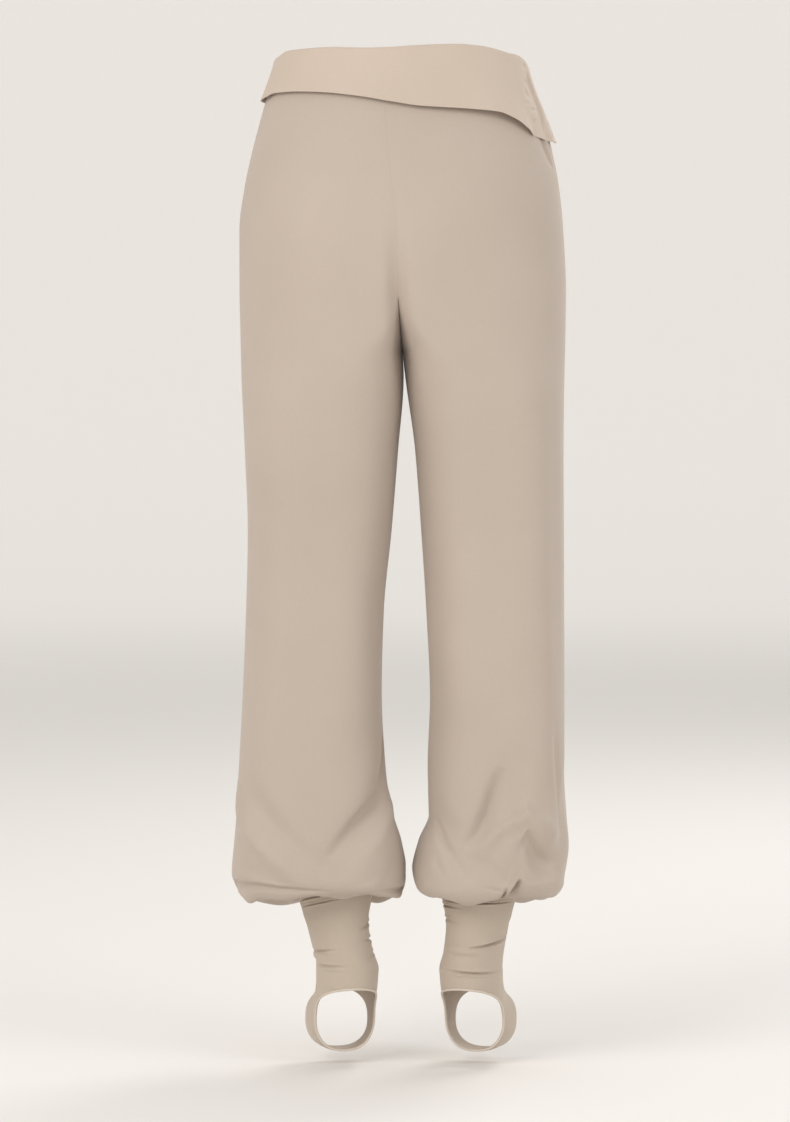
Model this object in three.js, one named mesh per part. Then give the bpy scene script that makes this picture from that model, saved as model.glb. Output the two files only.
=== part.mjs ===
// Wide-leg pants as worn: four leg panels, two waistbands folded outwards, and two stirrup cuffs.
// Millimetres, +Z up, front towards -Y, the wearer's left towards +X. The origin is the middle of the waist.
import * as THREE from "three";

// Driving sizes
const CLOTH = 1.5; // thickness of every wall
const SEAM = 0.3; // gap between two pieces at a seam
const BAND_RISE = 30; // height of the band's inner layer, from the panels' top edge to the fold
const FLAP_GAP = 1.6; // air between the folded band's two layers
const CROTCH_TOP = 230; // where the centre seams leave the outside for the crotch curve, below the waist
const CROTCH = 292; // the crotch point, below the waist
const CROTCH_CURVE = 1.8; // how late the crotch curve turns forwards
const CREASE_SQUARE = 3; // squareness of the legs' inner backs there
const CREASE_REACH = 56; // how far below the crotch the legs' roundness is complete
const CHART_WIDTH = 265; // cloth from outseam to inseam, on which the folds are placed
const SEAM_REST = 0.06; // share of a panel's width beside a seam in which folds fade out
const SOLE = 1046; // the foot's sole, below the waist
const GATHERS = 9; // gathers round each hem in the solid
const GATHER_DEPTH = 3.2;
const ROLL = 16; // height of the hem's rounded edge

// Rows of nominal depth below the waist where the tilted top and hem give way to level rows
const TOP_ROW = 28;
const TOP_FADE = 94;
const LOW_FADE = 700;
const ROLL_ROW = 850;
const UNDER_ROWS = 100; // row numbers past ROLL_ROW count this many hundredths of the way to the join

const table = (names, rows) =>
  rows.map((row) => Object.fromEntries(names.map((name, i) => [name, row[i]])));

// Sections by depth below the waist: medial line, outer and inner edge of each leg, depth behind and before,
// and squareness
const SECTIONS = table(
  ["down", "mid", "outLeft", "inLeft", "outRight", "inRight", "back", "front", "square"],
  [
    [-14, 17, 127, 0, -124, 0, 85, 90, 2.1],
    [0, 17, 130, 0, -127, 0, 87, 91, 2.1],
    [28, 17.5, 138, 0, -135, 0, 92, 94, 2.1],
    [60, 17, 147, 0, -146.5, 0, 99, 97, 2.15],
    [94, 15, 156, 0, -156.5, 0, 107, 100, 2.2],
    [136, 10, 165, 0, -164.5, 0, 115, 103, 2.25],
    [177, 6, 170, 0, -168.5, 0, 118, 104, 2.3],
    [240, 2, 170, 2, -171.5, 2, 115, 102, 2.35],
    [290, -2, 169, -2, -171, -2, 108, 99, 2.35],
    [330, -4, 168, -3.4, -170, -5, 102, 97, 2.35],
    [407, -4, 164.5, 4, -169, -15.5, 97, 94, 2.3],
    [491, -4, 161.5, 10.8, -169.5, -23.2, 92, 91, 2.3],
    [576, -4, 163.5, 19, -170, -29, 89, 89, 2.3],
    [660, -4, 167, 21.3, -170.5, -32.3, 87, 88, 2.3],
    [744, -4, 171.5, 17, -170.5, -28.5, 88, 89, 2.3],
    [790, -4, 174, 9.5, -173, -28.5, 91, 92, 2.25],
    [820, -4, 176.5, 0.3, -175, -17, 93, 94, 2.25],
    [850, -4, 179, -4.5, -170.5, -10.5, 93, 95, 2.2],
    [885, -4, 174.5, -4, -166.5, -11, 90, 94, 2.2],
  ],
);

// The waist fold and the free edge of the folded flap, by angle from the wearer's left side round the back
const WAIST = table(
  ["angle", "fold", "edge", "lift"],
  [
    [0, -1, -43, 2.5],
    [14, 2.5, -41, 2.5],
    [24, 6.5, -37.5, 2.5],
    [38, 7.5, -37, 2.5],
    [56, 8.3, -38.5, 2.5],
    [78, 7, -43.5, 2.5],
    [92, 7.7, -48.5, 3],
    [105, 9.6, -53, 3.5],
    [128, 11.6, -56, 6],
    [139, 10.4, -58.5, 9],
    [147, 8.2, -66, 8],
    [152.5, 6, -74.5, 5],
    [156, 4.6, -81, 2.4],
    [164, 3, -87, 1],
    [172, -2, -91, 0.8],
    [180, -9, -92, 1.4],
  ],
);
const WAIST_FRONT = table(
  ["angle", "fold", "edge", "lift"],
  [
    [180, -9, -92, 4.2],
    [187, -10, -85, 3.5],
    [200, -11, -74, 4],
    [214, -12, -66, 5],
    [232, -14, -62, 4],
    [270, -15, -56, 3],
    [310, -11, -48, 2.5],
    [345, -5, -44, 2.5],
    [360, -1, -43, 2.5],
  ],
);

// The hem's lowest line by angle round a leg: 0 outside, 90 behind, 180 inside, 270 in front
const HEM = table(
  ["angle", "left", "right"],
  [
    [0, -870, -875],
    [25, -864, -872],
    [45, -863, -869],
    [57, -864, -866],
    [70, -865, -858],
    [82, -866, -868],
    [100, -868, -873],
    [140, -868, -869],
    [180, -874, -862],
    [215, -888, -868],
    [270, -893, -890],
    [320, -888, -886],
    [360, -870, -875],
  ],
);

// Soft folds on the panels: share of the width from the outseam and depth below the waist, at start, bend and
// end. A positive depth is a trough and a negative one a ridge.
const FOLDS = table(
  ["panel", "u0", "d0", "u1", "d1", "u2", "d2", "half", "depth"],
  [
    ["left_back", 0.93, 720, 0.7, 788, 0.57, 840, 15, 5.5],
    ["left_back", 0.93, 775, 0.82, 812, 0.68, 848, 17, -3],
    ["left_back", 0.13, 765, 0.25, 800, 0.43, 842, 17, -2.6],
    ["left_back", 0.22, 300, 0.26, 520, 0.21, 740, 18, 2.4],
    ["left_back", 0.78, 400, 0.8, 560, 0.76, 700, 20, 2],
    ["right_back", 0.78, 778, 0.62, 820, 0.45, 862, 14, 3.4],
    ["right_back", 0.4, 700, 0.44, 780, 0.55, 826, 17, 4.6],
    ["right_back", 0.53, 838, 0.4, 786, 0.18, 800, 17, -3.6],
    ["right_back", 0.09, 745, 0.17, 800, 0.29, 834, 17, 4.8],
    ["right_back", 0.34, 862, 0.2, 866, 0.1, 838, 16, -3.2],
    ["right_back", 0.24, 300, 0.26, 500, 0.2, 720, 18, 2.8],
    ["left_front", 0.1, 740, 0.3, 800, 0.5, 852, 16, 4.2],
    ["left_front", 0.86, 745, 0.72, 800, 0.6, 856, 17, 4.4],
    ["left_front", 0.2, 800, 0.38, 840, 0.44, 868, 17, -3],
    ["left_front", 0.3, 300, 0.28, 520, 0.32, 720, 20, 2.6],
    ["right_front", 0.12, 750, 0.28, 806, 0.46, 850, 16, 4.4],
    ["right_front", 0.88, 735, 0.74, 796, 0.62, 850, 17, 4],
    ["right_front", 0.55, 800, 0.42, 836, 0.3, 866, 17, -3],
    ["right_front", 0.3, 310, 0.27, 520, 0.31, 730, 20, 2.4],
  ],
);

// Rings of a cuff down the calf, round the heel and along the instep, by where each crosses the heel's side
// and the front of the foot, forwards of the ankle and above the sole, with its half width and share of the
// lean
const RINGS = table(
  ["heelAt", "heelUp", "frontAt", "frontUp", "wide", "square", "lean"],
  [
    [-47.5, 184, 41.5, 184, 39, 2.1, 1.02],
    [-47.5, 174, 41.5, 174, 39, 2.1, 1],
    [-46, 163, 40, 163, 37, 2.1, 0.98],
    [-44, 150, 39, 150, 34, 2.1, 0.93],
    [-41, 132, 38, 132, 31.5, 2.1, 0.7],
    [-39, 111, 39, 112, 31, 2.1, 0.36],
    [-37, 91, 42, 95, 32.5, 2.1, 0],
    [-36, 75, 46, 84, 32, 2.1, 0],
    [-28, 52, 50, 79, 31.5, 2.1, 0],
    [-13, 27, 53, 74.5, 32, 2.2, 0],
    [6, 8, 55.5, 71, 33.5, 2.3, 0],
    [23, 1, 57.5, 68, 34, 2.4, 0],
    [39, 0, 59, 66, 34.5, 2.4, 0],
    [54, 0, 61, 64, 34.5, 2.4, 0],
  ],
);
const JOIN_RING = 1; // the leg is sewn on at this ring
const JOIN_GAP = 1.1; // and stands this far outside the ring, clear of its corners
const JOIN_INSET = 0.25; // degrees by which each panel stops short of the seam there
const CUFF_RADIUS = 40; // about which the wrinkles' depths are counted
const HEEL_FROM = 7; // rings between which the heel opening lies
const HEEL_TO = 10.6;
const HEEL_SPREAD = 82; // degrees of the opening on each side of the heel's middle
const HEEL_ROUND = 2; // squareness of the opening's outline

// Pressed wrinkles across the cuffs: ring, middle and half spread in degrees from the heel, slope, half width
// and depth
const WRINKLES = table(
  ["cuff", "ring", "at", "spread", "slope", "half", "depth"],
  [
    ["left", 2.5, 60, 75, -0.3, 0.3, 1.8],
    ["left", 4.75, 55, 70, 0.1, 0.26, 2.2],
    ["left", 5.3, 60, 75, 0.2, 0.26, 2],
    ["left", 4.2, -70, 65, 0.2, 0.28, 2.2],
    ["left", 6, 180, 80, 0.1, 0.3, 2.4],
    ["left", 3.4, 175, 85, -0.1, 0.3, 2],
    ["right", 4.4, 30, 85, -0.5, 0.28, 2.6],
    ["right", 5.6, 10, 80, -0.1, 0.28, 2.2],
    ["right", 3.2, -80, 60, 0.2, 0.28, 2],
    ["right", 6.1, 180, 80, 0.1, 0.3, 2.4],
    ["right", 3.6, 170, 85, 0.1, 0.3, 2],
  ],
);

// Each leg's foot: ankle position, turn-out, and how far the calf leans outwards at the join
const FEET = {
  left: { sign: 1, x: 57, y: 4, turn: 12, lean: 14 },
  right: { sign: -1, x: -72, y: 6, turn: 17, lean: 10 },
};

// A table's column at any key, on a smooth curve through its rows that never overshoots them.
function column(rows, key, name, at) {
  const last = rows.length - 1;
  const x = Math.min(Math.max(at, rows[0][key]), rows[last][key]);
  let i = 0;
  while (i < last - 1 && rows[i + 1][key] < x) i += 1;
  const slope = (k) =>
    (rows[k + 1][name] - rows[k][name]) / (rows[k + 1][key] - rows[k][key]);
  const tangent = (k) => {
    if (k === 0 || k === last) return slope(Math.min(k, last - 1));
    const [a, b] = [slope(k - 1), slope(k)];
    return a * b <= 0 ? 0 : (2 * a * b) / (a + b);
  };
  const step = rows[i + 1][key] - rows[i][key];
  const s = (x - rows[i][key]) / step;
  return (
    rows[i][name] * (1 + 2 * s) * (1 - s) ** 2 +
    rows[i + 1][name] * s * s * (3 - 2 * s) +
    step * s * (1 - s) * (tangent(i) * (1 - s) - tangent(i + 1) * s)
  );
}

const smooth = (low, high, x) => {
  const s = Math.min(Math.max((x - low) / (high - low), 0), 1);
  return s * s * (3 - 2 * s);
};
const mix = (a, b, s) => a + (b - a) * s;
const radians = (degrees) => (degrees * Math.PI) / 180;

// One quarter of a superellipse round (x, 0), from its side at share 0 to its back at share 1.
function quarter(x, wide, deep, square, share) {
  const angle = (share * Math.PI) / 2;
  return [
    x + wide * Math.cos(angle) ** (2 / square),
    deep * Math.sin(angle) ** (2 / square),
  ];
}

const QUARTER_STEPS = 30;
const sectionCache = new Map();

// Points of a leg's half section from the outseam to the medial seam, with the cloth's length up to each.
function halfSection(side, face, down) {
  const key = `${side} ${face} ${down}`;
  if (sectionCache.has(key)) return sectionCache.get(key);
  const sign = side === "left" ? 1 : -1;
  const name = side === "left" ? "Left" : "Right";
  const read = (wanted) => column(SECTIONS, "down", wanted, down);
  const mid = read("mid") + (sign * SEAM) / 2;
  const out = read(`out${name}`);
  const deep = read(face);
  const square = read("square");
  const legness = smooth(CROTCH_TOP, CROTCH + CREASE_REACH, down);
  const inner = down < CROTCH ? mid : sign * Math.max(sign * read(`in${name}`), sign * mid);
  const crest = mix(mid, (out + inner) / 2, legness);
  const points = [];
  for (let i = 0; i <= QUARTER_STEPS; i += 1)
    points.push(quarter(crest, out - crest, deep, square, i / QUARTER_STEPS));
  if (down > CROTCH_TOP) {
    const fall = Math.min((down - CROTCH_TOP) / (CROTCH - CROTCH_TOP), 1);
    const drop = Math.min(deep * fall ** CROTCH_CURVE, deep - SEAM / 2);
    const squareIn = mix(CREASE_SQUARE, square, smooth(CROTCH, CROTCH + 2 * CREASE_REACH, down));
    for (let i = 1; i <= QUARTER_STEPS; i += 1) {
      const [x, y] = quarter(crest, inner - crest, drop, squareIn, 1 - i / QUARTER_STEPS);
      points.push([x, deep - drop + y]);
    }
  }
  points[0][1] = SEAM / 2;
  let length = 0;
  const lengths = points.map(([x, y], i) => {
    if (i) length += Math.hypot(x - points[i - 1][0], y - points[i - 1][1]);
    return length;
  });
  const made = { points, lengths, face: face === "back" ? 1 : -1 };
  sectionCache.set(key, made);
  return made;
}

// The point at a share of the cloth from the outseam, at a depth below the waist.
function onSection(side, face, share, down) {
  const { points, lengths, face: sign } = halfSection(side, face, down);
  const wanted = Math.min(Math.max(share, 0), 1) * lengths[lengths.length - 1];
  let i = 0;
  while (i < lengths.length - 2 && lengths[i + 1] < wanted) i += 1;
  const s = (wanted - lengths[i]) / Math.max(lengths[i + 1] - lengths[i], 1e-9);
  return new THREE.Vector3(
    mix(points[i][0], points[i + 1][0], s),
    sign * mix(points[i][1], points[i + 1][1], s),
    -down,
  );
}

// The angle round the trunk, and round the leg, of a share of a panel's width.
const trunkAngle = (side, face, share) => {
  if (face === "back") return side === "left" ? 90 * share : 180 - 90 * share;
  return side === "left" ? 360 - 90 * share : 180 + 90 * share;
};
const legAngle = (face, share) => (face === "back" ? 180 * share : 360 - 180 * share);
function trunkPlace(angle) {
  if (angle <= 90) return { side: "left", face: "back", share: angle / 90 };
  if (angle <= 180) return { side: "right", face: "back", share: (180 - angle) / 90 };
  if (angle <= 270) return { side: "right", face: "front", share: (angle - 180) / 90 };
  return { side: "left", face: "front", share: (360 - angle) / 90 };
}
const waistRows = (angle) => (angle <= 180 ? WAIST : WAIST_FRONT);
const foldHeight = (angle) => column(waistRows(angle), "angle", "fold", angle);

// The folds of one panel as short chains of points on its flat chart.
const FOLD_STEPS = 12;
const foldChains = (panel) =>
  FOLDS.filter((fold) => fold.panel === panel).map((fold) => {
    const chain = [];
    for (let i = 0; i <= FOLD_STEPS; i += 1) {
      const s = i / FOLD_STEPS;
      const bend = (a, b, c) => a * (1 - s) ** 2 + 2 * b * s * (1 - s) + c * s * s;
      chain.push([
        CHART_WIDTH * bend(fold.u0, fold.u1, fold.u2),
        bend(fold.d0, fold.d1, fold.d2),
      ]);
    }
    return { ...fold, chain };
  });

// How far a panel's folds lift the cloth at a place: below zero in a trough.
function foldLift(chains, share, down) {
  const [x, y] = [CHART_WIDTH * share, down];
  let lift = 0;
  for (const { chain, half, depth } of chains) {
    let best = [Infinity, 0];
    for (let i = 0; i < FOLD_STEPS; i += 1) {
      const [[ax, ay], [bx, by]] = [chain[i], chain[i + 1]];
      const [dx, dy] = [bx - ax, by - ay];
      const s = Math.min(Math.max(((x - ax) * dx + (y - ay) * dy) / (dx * dx + dy * dy), 0), 1);
      const gap = Math.hypot(x - ax - s * dx, y - ay - s * dy);
      if (gap < best[0]) best = [gap, (i + s) / FOLD_STEPS];
    }
    const taper = Math.sin(Math.PI * Math.min(Math.max(best[1], 0.08), 0.92)) ** 0.7;
    lift -= depth * taper * Math.exp(-((best[0] / half) ** 2));
  }
  return lift * smooth(0, SEAM_REST, share) * smooth(0, SEAM_REST, 1 - share);
}

const STEP = 2e-3; // how far along a surface its slope is taken

// The unit normal of a surface, from short steps inside its limits. The row's step depends on its unit.
function normalOf(surface, u, v, turn) {
  const [u0, u1] = [Math.max(u - STEP, 0), Math.min(u + STEP, 1)];
  const along = surface(u1, v).sub(surface(u0, v));
  const down = surface(u, v + turn.step).sub(surface(u, v - turn.step));
  return along.cross(down).normalize().multiplyScalar(turn.sign);
}

// A cuff's surface: share of the way round from the heel's middle, and ring number.
function cuffSurface(name) {
  const foot = FEET[name];
  const wrinkles = WRINKLES.filter((wrinkle) => wrinkle.cuff === name);
  const turn = radians(foot.turn);
  const rings = RINGS.map((ring, number) => ({ ...ring, number }));
  return (share, ring, opening = true) => {
    const read = (wanted) => column(rings, "number", wanted, ring);
    const middle = (HEEL_FROM + HEEL_TO) / 2;
    const off = Math.min(Math.abs(ring - middle) / ((HEEL_TO - HEEL_FROM) / 2), 1);
    const spread = opening ? HEEL_SPREAD * (1 - off ** HEEL_ROUND) ** (1 / HEEL_ROUND) : 0;
    const degrees = spread + share * (360 - 2 * spread);
    const angle = radians(degrees);
    const power = 2 / read("square");
    const bend = (value) => Math.sign(value) * Math.abs(value) ** power;
    let pressed = 0;
    for (const wrinkle of wrinkles) {
      const turned = ((degrees - wrinkle.at + 540) % 360) - 180;
      const near = Math.min(Math.abs(turned) / wrinkle.spread, 1);
      const across = (ring - wrinkle.ring - (wrinkle.slope * turned) / 60) / wrinkle.half;
      const profile = (1 - 2 * across * across) * Math.exp(-across * across);
      pressed += wrinkle.depth * (1 - near * near) ** 2 * profile;
    }
    const shrink = 1 - pressed / CUFF_RADIUS;
    const long = (1 - bend(Math.cos(angle)) * shrink) / 2;
    const wide = bend(Math.sin(angle)) * read("wide") * shrink;
    const forward = mix(read("heelAt"), read("frontAt"), long);
    const height = mix(read("heelUp"), read("frontUp"), long);
    const lean = foot.sign * foot.lean * read("lean");
    return new THREE.Vector3(
      foot.x + lean + foot.sign * (forward * Math.sin(turn) + wide * Math.cos(turn)),
      foot.y - forward * Math.cos(turn) + wide * Math.sin(turn),
      height - SOLE,
    );
  };
}

// A leg panel's outer face. Rows are depths below the waist down to the hem's roll, then run to the join.
function panelSurface(side, face) {
  const chains = foldChains(`${side}_${face}`);
  const cuff = cuffSurface(side);
  const lowest = (share) => column(HEM, "angle", side, legAngle(face, share));
  const depth = (share, row) => {
    const seam = BAND_RISE - foldHeight(trunkAngle(side, face, share));
    if (row < TOP_FADE)
      return row + ((seam - TOP_ROW) * (TOP_FADE - row)) / (TOP_FADE - TOP_ROW);
    if (row <= LOW_FADE) return row;
    const roll = -lowest(share) - ROLL;
    return LOW_FADE + ((row - LOW_FADE) * (roll - LOW_FADE)) / (ROLL_ROW - LOW_FADE);
  };
  const bare = (share, row) => onSection(side, face, share, depth(share, row));
  const sign = (side === "left") === (face === "back") ? -1 : 1;
  const skin = (share, row) => {
    const lift = foldLift(chains, share, row);
    if (Math.abs(lift) < 1e-3) return bare(share, row);
    const normal = normalOf(bare, share, row, { step: 0.5, sign });
    return bare(share, row).addScaledVector(normal, lift);
  };
  return (share, row) => {
    if (row <= ROLL_ROW) return skin(share, row);
    const s = Math.min((row - ROLL_ROW) / UNDER_ROWS, 1);
    const start = skin(share, ROLL_ROW);
    const degrees = mix(JOIN_INSET, 180 - JOIN_INSET, share);
    const round = (90 - (face === "back" ? degrees : 360 - degrees) + 720) % 360;
    const join = cuff(round / 360, JOIN_RING, false);
    const middle = cuff(0, JOIN_RING, false).add(cuff(0.5, JOIN_RING, false)).multiplyScalar(0.5);
    const outward = join.clone().sub(middle).setZ(0).normalize();
    join.addScaledVector(outward, JOIN_GAP);
    const low = lowest(share);
    const first = start.clone().setZ(start.z - ROLL * 1.25);
    const second = start.clone().lerp(join, 0.5).setZ(low - 0.28 * (join.z - low));
    const point = start.clone().multiplyScalar((1 - s) ** 3);
    point.addScaledVector(first, 3 * s * (1 - s) ** 2);
    point.addScaledVector(second, 3 * s * s * (1 - s));
    point.addScaledVector(join, s ** 3);
    const wave = Math.cos(radians(GATHERS * legAngle(face, share)));
    point.z += GATHER_DEPTH * wave * smooth(0.25, 0.65, s) * (1 - smooth(0.7, 1, s));
    return point;
  };
}

// A waistband's middle surface: up inside, over the fold and down outside to the flap's free edge.
const FOLD_TURN = (FLAP_GAP + CLOTH) / 2;
const BAND_INSET = 0.07; // degrees by which each half stops short of the side seams
function bandSurface(from, to) {
  return (share, row) => {
    const angle = mix(from + BAND_INSET, to - BAND_INSET, share);
    const read = (wanted) => column(waistRows(angle), "angle", wanted, angle);
    const place = trunkPlace(angle);
    const fold = read("fold") - FOLD_TURN - CLOTH / 2;
    const base = read("fold") - BAND_RISE + SEAM;
    let offset = -CLOTH / 2;
    let height = mix(base, fold, Math.min(row, 1));
    if (row > 1 && row < 2) {
      offset += FOLD_TURN * (1 - Math.cos(Math.PI * (row - 1)));
      height = fold + FOLD_TURN * Math.sin(Math.PI * (row - 1));
    }
    if (row >= 2) {
      const s = row - 2;
      height = mix(fold, read("edge"), s);
      offset += 2 * FOLD_TURN + read("lift") * s * s;
    }
    const point = onSection(place.side, place.face, place.share, -height);
    const ahead = onSection(place.side, place.face, Math.min(place.share + 0.01, 1), -height);
    const behind = onSection(place.side, place.face, Math.max(place.share - 0.01, 0), -height);
    const along = ahead.sub(behind);
    const outward = new THREE.Vector3(-along.y, along.x, 0).normalize();
    if (outward.x * point.x + outward.y * point.y < 0) outward.negate();
    return point.addScaledVector(outward, offset);
  };
}

// A closed wall over a grid of welded points: outer face, inner face and the rim round every free edge.
function wall({ outer, inner, quads }) {
  const count = outer.length;
  const triangles = [];
  for (const [a, b, c, d] of quads) {
    const alongFirst = outer[a].distanceTo(outer[c]) <= outer[b].distanceTo(outer[d]);
    if (alongFirst) triangles.push([a, b, c], [a, c, d]);
    else triangles.push([a, b, d], [b, c, d]);
  }
  const solid = triangles.filter(([a, b, c]) => a !== b && b !== c && a !== c);
  const uses = new Map();
  for (const [a, b, c] of solid)
    for (const [p, q] of [[a, b], [b, c], [c, a]]) uses.set(`${p} ${q}`, [p, q]);
  const all = solid.flatMap(([a, b, c]) => [a, b, c, count + a, count + c, count + b]);
  for (const [p, q] of uses.values())
    if (!uses.has(`${q} ${p}`)) all.push(q, p, count + p, q, count + p, count + q);
  const positions = [...outer, ...inner];
  const volume = (indices) => {
    let sum = 0;
    for (let i = 0; i < indices.length; i += 3) {
      const [a, b, c] = [0, 1, 2].map((k) => positions[indices[i + k]]);
      sum += a.dot(b.clone().cross(c)) / 6;
    }
    return sum;
  };
  if (volume(all) < 0) all.reverse();
  const geometry = new THREE.BufferGeometry().setFromPoints(positions);
  geometry.setIndex(all);
  geometry.computeVertexNormals();
  return geometry;
}

// Points of a surface at each row and column, and their copies set in or out along the normal.
function gridOf(surface, us, vs, turn, outerAt, innerAt, closed = () => false) {
  const outer = [];
  const inner = [];
  const ids = vs.map((v) =>
    us.map((u, i) => {
      if (closed(v) && i === us.length - 1) return -1;
      const point = surface(u, v);
      const normal = normalOf(surface, u, v, turn);
      outer.push(point.clone().addScaledVector(normal, outerAt));
      inner.push(point.clone().addScaledVector(normal, innerAt));
      return outer.length - 1;
    }),
  );
  for (const row of ids) if (row[row.length - 1] < 0) row[row.length - 1] = row[0];
  const quads = [];
  for (let j = 0; j + 1 < vs.length; j += 1)
    for (let i = 0; i + 1 < us.length; i += 1)
      quads.push([ids[j][i], ids[j][i + 1], ids[j + 1][i + 1], ids[j + 1][i]]);
  return { outer, inner, quads };
}

const evenly = (from, to, count) =>
  Array.from({ length: count + 1 }, (_, i) => mix(from, to, i / count));

const cloth = (colour, roughness) =>
  new THREE.MeshStandardMaterial({ color: colour, roughness, metalness: 0 });
const PANEL_CLOTH = cloth(0xc9b9a8, 0.85);
const BAND_CLOTH = cloth(0xcfc0b0, 0.85);
const CUFF_CLOTH = cloth(0xb9a996, 0.85);

const named = (name, geometry, material) => {
  const mesh = new THREE.Mesh(geometry, material);
  mesh.name = name;
  return mesh;
};

const PANEL_COLUMNS = 14;
const CUFF_COLUMNS = 20;
const BAND_ROWS = [0, 1, 1.3, 1.7, 2, 2.35, 2.7, 3];
const PANEL_ROWS = [
  ...evenly(TOP_ROW, TOP_FADE, 2),
  ...evenly(135, 185, 1),
  ...evenly(CROTCH_TOP, CROTCH, 5),
  ...evenly(CROTCH + CREASE_REACH / 2, CROTCH + CREASE_REACH, 1),
  ...evenly(400, LOW_FADE, 4),
  ...evenly(726, ROLL_ROW, 5),
  ...evenly(ROLL_ROW + 20, ROLL_ROW + UNDER_ROWS, 4),
];

function legPanel(side, face) {
  const sign = (side === "left") === (face === "back") ? -1 : 1;
  const surface = panelSurface(side, face);
  const turn = { step: 0.05, sign };
  const grid = gridOf(surface, evenly(0, 1, PANEL_COLUMNS), PANEL_ROWS, turn, 0, -CLOTH);
  return named(`${side}_${face}_leg`, wall(grid), PANEL_CLOTH);
}

function waistband(name, from, to) {
  const turn = { step: 1e-3, sign: 1 };
  const columns = evenly(0, 1, 2 * PANEL_COLUMNS);
  const grid = gridOf(bandSurface(from, to), columns, BAND_ROWS, turn, CLOTH / 2, -CLOTH / 2);
  return named(name, wall(grid), BAND_CLOTH);
}

function cuff(side) {
  const middle = (HEEL_FROM + HEEL_TO) / 2;
  const half = (HEEL_TO - HEEL_FROM) / 2;
  const heel = [90, 66, 42, 14].map((degrees) => half * Math.sin(radians(degrees)));
  const rows = [
    ...evenly(0, HEEL_FROM - 0.35, 12),
    ...heel.map((off) => middle - off),
    ...heel.reverse().map((off) => middle + off),
    ...evenly(HEEL_TO + 0.6, RINGS.length - 1, 3),
  ];
  const open = (ring) => Math.abs(ring - middle) < half - 1e-6;
  const sign = side === "left" ? 1 : -1;
  const grid = gridOf(
    cuffSurface(side),
    evenly(0, 1, CUFF_COLUMNS),
    rows,
    { step: 1e-3, sign },
    0,
    -CLOTH,
    (ring) => !open(ring),
  );
  return named(`${side}_stirrup_cuff`, wall(grid), CUFF_CLOTH);
}

const pants = new THREE.Group();
pants.add(waistband("back_waistband", 0, 180), waistband("front_waistband", 180, 360));
for (const side of ["left", "right"]) {
  pants.add(legPanel(side, "back"), legPanel(side, "front"), cuff(side));
}

export default pants;
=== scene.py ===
import math
import bpy
import numpy as np
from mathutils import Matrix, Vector


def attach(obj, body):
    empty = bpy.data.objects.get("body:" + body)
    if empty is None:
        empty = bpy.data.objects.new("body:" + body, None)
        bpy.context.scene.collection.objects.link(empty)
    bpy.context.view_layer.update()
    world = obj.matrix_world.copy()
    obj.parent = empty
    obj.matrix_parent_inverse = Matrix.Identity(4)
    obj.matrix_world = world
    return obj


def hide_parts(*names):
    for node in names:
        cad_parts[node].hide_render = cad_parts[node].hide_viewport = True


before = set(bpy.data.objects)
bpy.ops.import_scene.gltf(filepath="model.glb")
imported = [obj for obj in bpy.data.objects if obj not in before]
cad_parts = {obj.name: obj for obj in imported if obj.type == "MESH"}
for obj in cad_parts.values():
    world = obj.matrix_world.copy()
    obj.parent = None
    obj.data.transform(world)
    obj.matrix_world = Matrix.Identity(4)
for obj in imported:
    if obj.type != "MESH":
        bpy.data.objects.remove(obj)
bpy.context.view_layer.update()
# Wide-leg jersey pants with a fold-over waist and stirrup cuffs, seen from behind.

# Sizes, in millimetres unless named otherwise. A share runs from 0 to 1.
MM = 0.001
CLOTH = 1.5
SEAM = 0.06  # gap along a sewn seam
SEAM_REST, FINE_REST = 0.06, 0.02  # shares of a panel beside a seam where folds and fine creases die out
SHARP = math.radians(55)  # edges turned more than this stay crisp
SOLE = 1046  # depth below the waist
FLOOR_DROP = 13  # from the soles down to the floor

# Waistband: its height inside, the room under its flap, and the radius of its fold
BAND_RISE = 30
FLAP_GAP = 1.6
FOLD_TURN = (FLAP_GAP + CLOTH) / 2
BAND_INSET = 0.07  # degrees left open at each side seam
UNDERSIDE = 0.05  # least height of the flap's underside over the leg's form
BAND_WIDTH, BAND_LENGTH = 420, 100  # a half on its chart
SIDESTEP = 0.01  # share of a quarter over which the trunk's direction is read

# Crotch: rows where its curve starts and ends, how steeply it dives, and how it opens into the legs
CROTCH_TOP, CROTCH = 244, 302
CROTCH_CURVE = 2.1
CREASE_SQUARE = 3
CREASE_REACH = 56
QUARTER_STEPS = 30  # straight steps along each quarter of a section
FLAT_BACK, FLAT_BACK_ROWS = 0.6, (300, 430)  # how much flatter the legs hang behind, and from which rows

# Leg panels: the width of their chart, and its rows from the waist seam to the join with the cuff
CHART_WIDTH = 265
TOP_ROW = 28
TOP_FADE = 94  # above this row the rows follow the waist seam
LOW_FADE = 700  # below this row they follow the hem
ROLL_ROW = 850  # where the hem starts to turn under
UNDER_ROWS = 100
FOLD_STEPS = 16  # straight steps along a fold's curve
FOLD_REACH = 3  # how far a fold is felt, in half widths
FOLD_TAPER = 0.7
BROAD_ENDS, FINE_ENDS = 0.08, 0.02  # how near its ends a fold keeps its depth

# Hem: how far its roll hangs, the two handles of its curve, and the gathers round a leg
ROLL = 16
ROLL_HANDLE = 1.25  # in rolls
UNDER_DIP = 0.28  # of the way from the hem's edge up to the join
GATHERS = 9
GATHER_DEPTH = 3.2
# Where along the turned-under cloth its gathers, sags, notches and creases set in and die out, as shares
GATHER_START, GATHER_END = (0.25, 0.65), (0.7, 1)
SAG_START = (0.02, 0.2)
NOTCH_START, NOTCH_END = (0.12, 0.26), (0.45, 0.9)
UNDER_END = (0.75, 1)

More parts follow.
